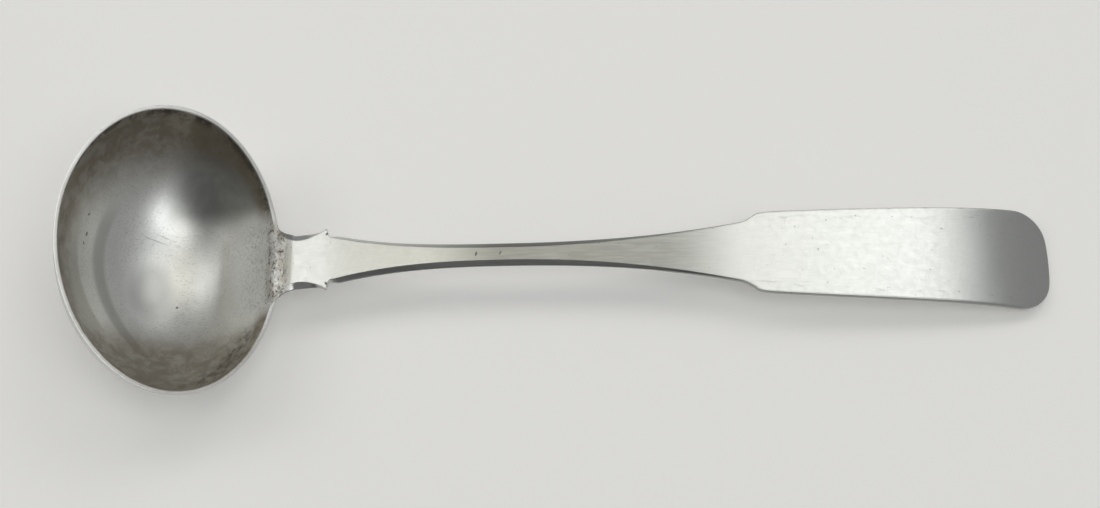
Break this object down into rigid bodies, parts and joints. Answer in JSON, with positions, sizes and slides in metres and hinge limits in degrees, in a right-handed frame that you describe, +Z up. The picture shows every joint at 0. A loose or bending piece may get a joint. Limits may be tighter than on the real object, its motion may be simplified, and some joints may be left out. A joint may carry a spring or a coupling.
{
  "type": "gravy ladle",
  "caption": "Gravy ladle in worn silver: a deep oval bowl, a waisted neck with pointed horns, a slim bevelled stem and a fiddle blade with a turned-down end.",
  "frame": {"origin": "on the surface that the ladle lies on, under the middle of its bounding box", "axes": "+X along the handle from the bowl to the turned-down end, +Z up, and +Y across the ladle, which is the same on both sides of Y = 0. The ladle lies as it comes to rest, on the bottom of its bowl and on the tip of its handle"},
  "size_m": [0.1802, 0.056, 0.0288],
  "materials": {
    "silver": "satin silver, hand worn, with brown and grey tarnish in the bowl and at the neck"
  },
  "bodies": {
    "root": {"ladle": "silver"}
  },
  "joints": []
}
